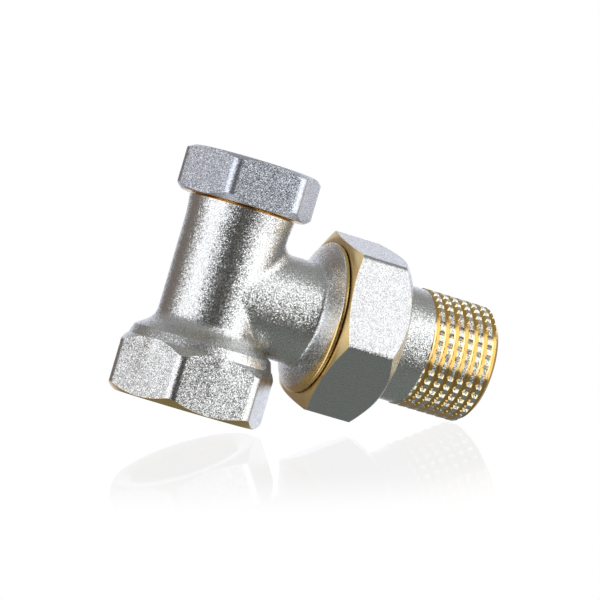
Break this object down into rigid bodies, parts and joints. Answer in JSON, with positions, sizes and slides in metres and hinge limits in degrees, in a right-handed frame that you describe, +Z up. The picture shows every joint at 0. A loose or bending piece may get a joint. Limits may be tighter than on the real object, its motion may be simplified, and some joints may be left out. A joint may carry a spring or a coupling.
{
  "type": "angled radiator return valve",
  "caption": "Nickel-plated angle valve for a radiator's return, with a hexagonal capped lockshield spindle, a female threaded foot and a union tail with a notched male thread.",
  "frame": {"origin": "centre of the inlet's bottom face, on the axis of the inlet thread", "axes": "+Z up the inlet and the spindle towards the cap, +X along the outlet towards the tail's free end"},
  "size_m": [0.0621, 0.0316, 0.043],
  "materials": {
    "plated_brass": "blasted nickel plate, bare brass where machined",
    "brass": "machined brass",
    "rubber": "black nitrile rubber",
    "gasket": "white fluoropolymer",
    "spring_steel": "bright spring steel"
  },
  "bodies": {
    "body": {"valve_body": "plated_brass", "headwork": "brass", "headwork_o_ring": "rubber", "spindle_retaining_ring": "spring_steel"},
    "shutter": {"shutter_disc": "brass", "shutter_seal": "rubber", "seal_washer": "brass", "seal_screw": "brass"},
    "spindle": {"lock_spindle": "brass", "spindle_o_ring_upper": "rubber", "spindle_o_ring_lower": "rubber"},
    "cap_seal": {"cap_gasket": "gasket"},
    "cap": {"cap": "plated_brass"},
    "tail_seal": {"tailpiece_o_ring": "rubber"},
    "tail": {"tailpiece": "plated_brass"},
    "nut": {"union_nut": "plated_brass"}
  },
  "joints": [
    {"name": "shutter_lift", "type": "slide", "parent": "body", "child": "shutter", "axis": [0, 0, 1], "range_m": [-0.003, 0]},
    {"name": "spindle_turn", "type": "hinge", "parent": "shutter", "child": "spindle", "pos_m": [0, 0, 0.035], "axis": [0, 0, 1], "range_deg": [-1080, 0]},
    {"name": "cap_lift", "type": "slide", "parent": "body", "child": "cap_seal", "axis": [0, 0, 1], "range_m": [0, 0.005]},
    {"name": "cap_turn", "type": "hinge", "parent": "cap_seal", "child": "cap", "pos_m": [0, 0, 0.039], "axis": [0, 0, 1], "range_deg": [0, 1800]},
    {"name": "union_travel", "type": "slide", "parent": "body", "child": "tail_seal", "axis": [1, 0, 0], "range_m": [0, 0.00771]},
    {"name": "tail_swivel", "type": "hinge", "parent": "tail_seal", "child": "tail", "pos_m": [0.024, 0, 0.021], "axis": [1, 0, 0], "continuous": true},
    {"name": "union_nut_turn", "type": "hinge", "parent": "tail_seal", "child": "nut", "pos_m": [0.024, 0, 0.021], "axis": [1, 0, 0], "range_deg": [0, 1530]}
  ],
  "couplings": [
    {"joint": "shutter_lift", "follows": "spindle_turn", "m_per_rad": 0.00015915},
    {"joint": "cap_lift", "follows": "cap_turn", "m_per_rad": 0.00015915},
    {"joint": "union_travel", "follows": "union_nut_turn", "m_per_rad": 0.00028871}
  ]
}
